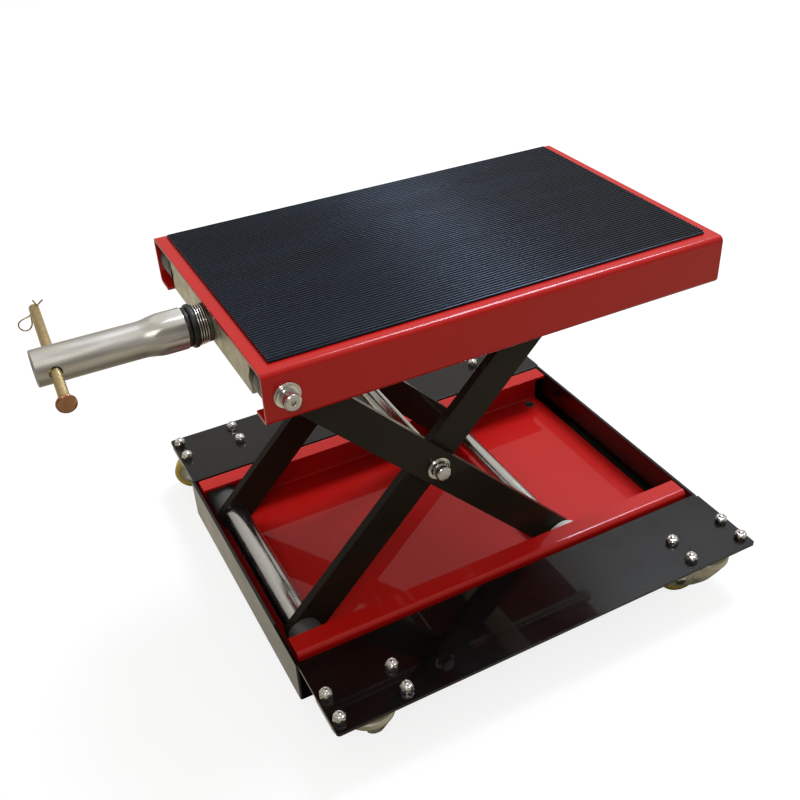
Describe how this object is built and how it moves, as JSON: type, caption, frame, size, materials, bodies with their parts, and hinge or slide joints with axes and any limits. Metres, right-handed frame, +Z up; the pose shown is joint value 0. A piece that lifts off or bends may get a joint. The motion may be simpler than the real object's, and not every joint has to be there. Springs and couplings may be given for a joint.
{
  "type": "scissor lift jack",
  "caption": "Screw-driven scissor lift jack with a mat-topped red deck, riding on a black dolly frame with swivel casters.",
  "frame": {"origin": "on the floor, under the middle of the deck", "axes": "+X along the lead screw away from the drive sleeve, +Y along the pivot shafts, +Z up"},
  "size_m": [0.5336, 0.424, 0.323],
  "materials": {
    "red_paint": "gloss",
    "black_paint": "satin",
    "mat_rubber": "ribbed matt",
    "chromed_steel": "polished",
    "bright_zinc": "bright zinc plate",
    "yellow_zinc": "yellow zinc plate",
    "dull_zinc": "dull zinc plate",
    "dark_steel": "black oxide",
    "spacer_grey": "matt",
    "roller_nylon": "matt",
    "wheel_yellow": "translucent cast polyurethane"
  },
  "bodies": {
    "dolly": {"dolly_frame": "black_paint", "front_wing_plate": "black_paint", "rear_wing_plate": "black_paint", "base_channel": "red_paint", "base_screws": "dark_steel", "caster_bolts": "bright_zinc", "caster_nuts": "bright_zinc", "lower_pivot_shaft": "chromed_steel", "lower_pivot_spacer_front": "spacer_grey", "lower_pivot_spacer_rear": "spacer_grey", "lower_pivot_clips": "bright_zinc", "front_left_caster_plate": "dull_zinc", "front_right_caster_plate": "dull_zinc", "rear_left_caster_plate": "dull_zinc", "rear_right_caster_plate": "dull_zinc"},
    "inner_arms": {"inner_arm_front": "black_paint", "inner_arm_rear": "black_paint", "lower_tie_tube": "chromed_steel", "centre_shaft": "chromed_steel", "centre_clips": "bright_zinc", "centre_washers": "bright_zinc"},
    "outer_arms": {"outer_arm_front": "black_paint", "outer_arm_rear": "black_paint", "roller_shaft": "chromed_steel", "roller_shaft_clips": "bright_zinc"},
    "base_roller_front": {"base_roller_front": "roller_nylon"},
    "base_roller_rear": {"base_roller_rear": "roller_nylon"},
    "travelling_nut": {"travelling_nut": "dull_zinc", "travelling_nut_clips": "bright_zinc"},
    "deck_roller_front": {"deck_roller_front": "roller_nylon"},
    "deck_roller_rear": {"deck_roller_rear": "roller_nylon"},
    "deck": {"deck_channel": "red_paint", "deck_mat": "mat_rubber", "thrust_block": "dull_zinc", "thrust_bush": "dark_steel", "deck_pivot_spacer_front": "spacer_grey", "deck_pivot_spacer_rear": "spacer_grey", "deck_pivot_clips": "bright_zinc"},
    "screw": {"lead_screw": "bright_zinc", "drive_sleeve": "bright_zinc", "sleeve_collar": "dark_steel", "thrust_ring": "dark_steel", "disc_springs": "bright_zinc"},
    "tommy_bar": {"tommy_bar": "yellow_zinc", "split_pin": "yellow_zinc"},
    "front_left_fork": {"front_left_caster_fork": "dull_zinc", "front_left_caster_axle": "bright_zinc"},
    "front_left_wheel": {"front_left_caster_wheel": "wheel_yellow"},
    "front_right_fork": {"front_right_caster_fork": "dull_zinc", "front_right_caster_axle": "bright_zinc"},
    "front_right_wheel": {"front_right_caster_wheel": "wheel_yellow"},
    "rear_left_fork": {"rear_left_caster_fork": "dull_zinc", "rear_left_caster_axle": "bright_zinc"},
    "rear_left_wheel": {"rear_left_caster_wheel": "wheel_yellow"},
    "rear_right_fork": {"rear_right_caster_fork": "dull_zinc", "rear_right_caster_axle": "bright_zinc"},
    "rear_right_wheel": {"rear_right_caster_wheel": "wheel_yellow"}
  },
  "joints": [
    {"name": "lift_fold", "type": "hinge", "parent": "dolly", "child": "inner_arms", "pos_m": [-0.183, 0, 0.0352], "axis": [0, -1, 0], "range_deg": [-36.8, 9.2]},
    {"name": "outer_arm_fold", "type": "hinge", "parent": "inner_arms", "child": "outer_arms", "pos_m": [-0.05472, 0, 0.16711], "axis": [0, -1, 0], "range_deg": [-18.4, 73.6]},
    {"name": "deck_level", "type": "hinge", "parent": "outer_arms", "child": "deck", "pos_m": [-0.183, 0, 0.29902], "axis": [0, -1, 0], "range_deg": [-36.8, 9.2]},
    {"name": "travelling_nut_level", "type": "hinge", "parent": "inner_arms", "child": "travelling_nut", "pos_m": [0.07356, 0, 0.29902], "axis": [0, -1, 0], "range_deg": [-9.2, 36.8]},
    {"name": "screw_spin", "type": "hinge", "parent": "deck", "child": "screw", "pos_m": [-0.216, 0, 0.29902], "axis": [1, 0, 0], "continuous": true},
    {"name": "bar_slide", "type": "slide", "parent": "screw", "child": "tommy_bar", "axis": [0.0436, 0.999, 0], "range_m": [-0.071, 0.038]},
    {"name": "base_roller_front_spin", "type": "hinge", "parent": "outer_arms", "child": "base_roller_front", "pos_m": [0.07356, -0.1109, 0.0352], "axis": [0, 1, 0], "continuous": true},
    {"name": "base_roller_rear_spin", "type": "hinge", "parent": "outer_arms", "child": "base_roller_rear", "pos_m": [0.07356, 0.1109, 0.0352], "axis": [0, 1, 0], "continuous": true},
    {"name": "deck_roller_front_spin", "type": "hinge", "parent": "travelling_nut", "child": "deck_roller_front", "pos_m": [0.07356, -0.0961, 0.29902], "axis": [0, 1, 0], "continuous": true},
    {"name": "deck_roller_rear_spin", "type": "hinge", "parent": "travelling_nut", "child": "deck_roller_rear", "pos_m": [0.07356, 0.0961, 0.29902], "axis": [0, 1, 0], "continuous": true},
    {"name": "front_left_swivel", "type": "hinge", "parent": "dolly", "child": "front_left_fork", "pos_m": [-0.1706, -0.1877, 0.041], "axis": [0, 0, 1], "continuous": true},
    {"name": "front_left_wheel_spin", "type": "hinge", "parent": "front_left_fork", "child": "front_left_wheel", "pos_m": [-0.15118, -0.17359, 0.018], "axis": [-0.5878, 0.809, 0], "continuous": true},
    {"name": "front_right_swivel", "type": "hinge", "parent": "dolly", "child": "front_right_fork", "pos_m": [0.1706, -0.1877, 0.041], "axis": [0, 0, 1], "continuous": true},
    {"name": "front_right_wheel_spin", "type": "hinge", "parent": "front_right_fork", "child": "front_right_wheel", "pos_m": [0.14805, -0.17949, 0.018], "axis": [-0.342, -0.9397, 0], "continuous": true},
    {"name": "rear_left_swivel", "type": "hinge", "parent": "dolly", "child": "rear_left_fork", "pos_m": [-0.1706, 0.1877, 0.041], "axis": [0, 0, 1], "continuous": true},
    {"name": "rear_left_wheel_spin", "type": "hinge", "parent": "rear_left_fork", "child": "rear_left_wheel", "pos_m": [-0.19235, 0.19784, 0.018], "axis": [-0.4226, -0.9063, 0], "continuous": true},
    {"name": "rear_right_swivel", "type": "hinge", "parent": "dolly", "child": "rear_right_fork", "pos_m": [0.1706, 0.1877, 0.041], "axis": [0, 0, 1], "continuous": true},
    {"name": "rear_right_wheel_spin", "type": "hinge", "parent": "rear_right_fork", "child": "rear_right_wheel", "pos_m": [0.14805, 0.17949, 0.018], "axis": [0.342, -0.9397, 0], "continuous": true}
  ],
  "couplings": [
    {"joint": "outer_arm_fold", "follows": "lift_fold", "ratio": -2},
    {"joint": "deck_level", "follows": "lift_fold", "ratio": 1},
    {"joint": "travelling_nut_level", "follows": "lift_fold", "ratio": -1}
  ]
}
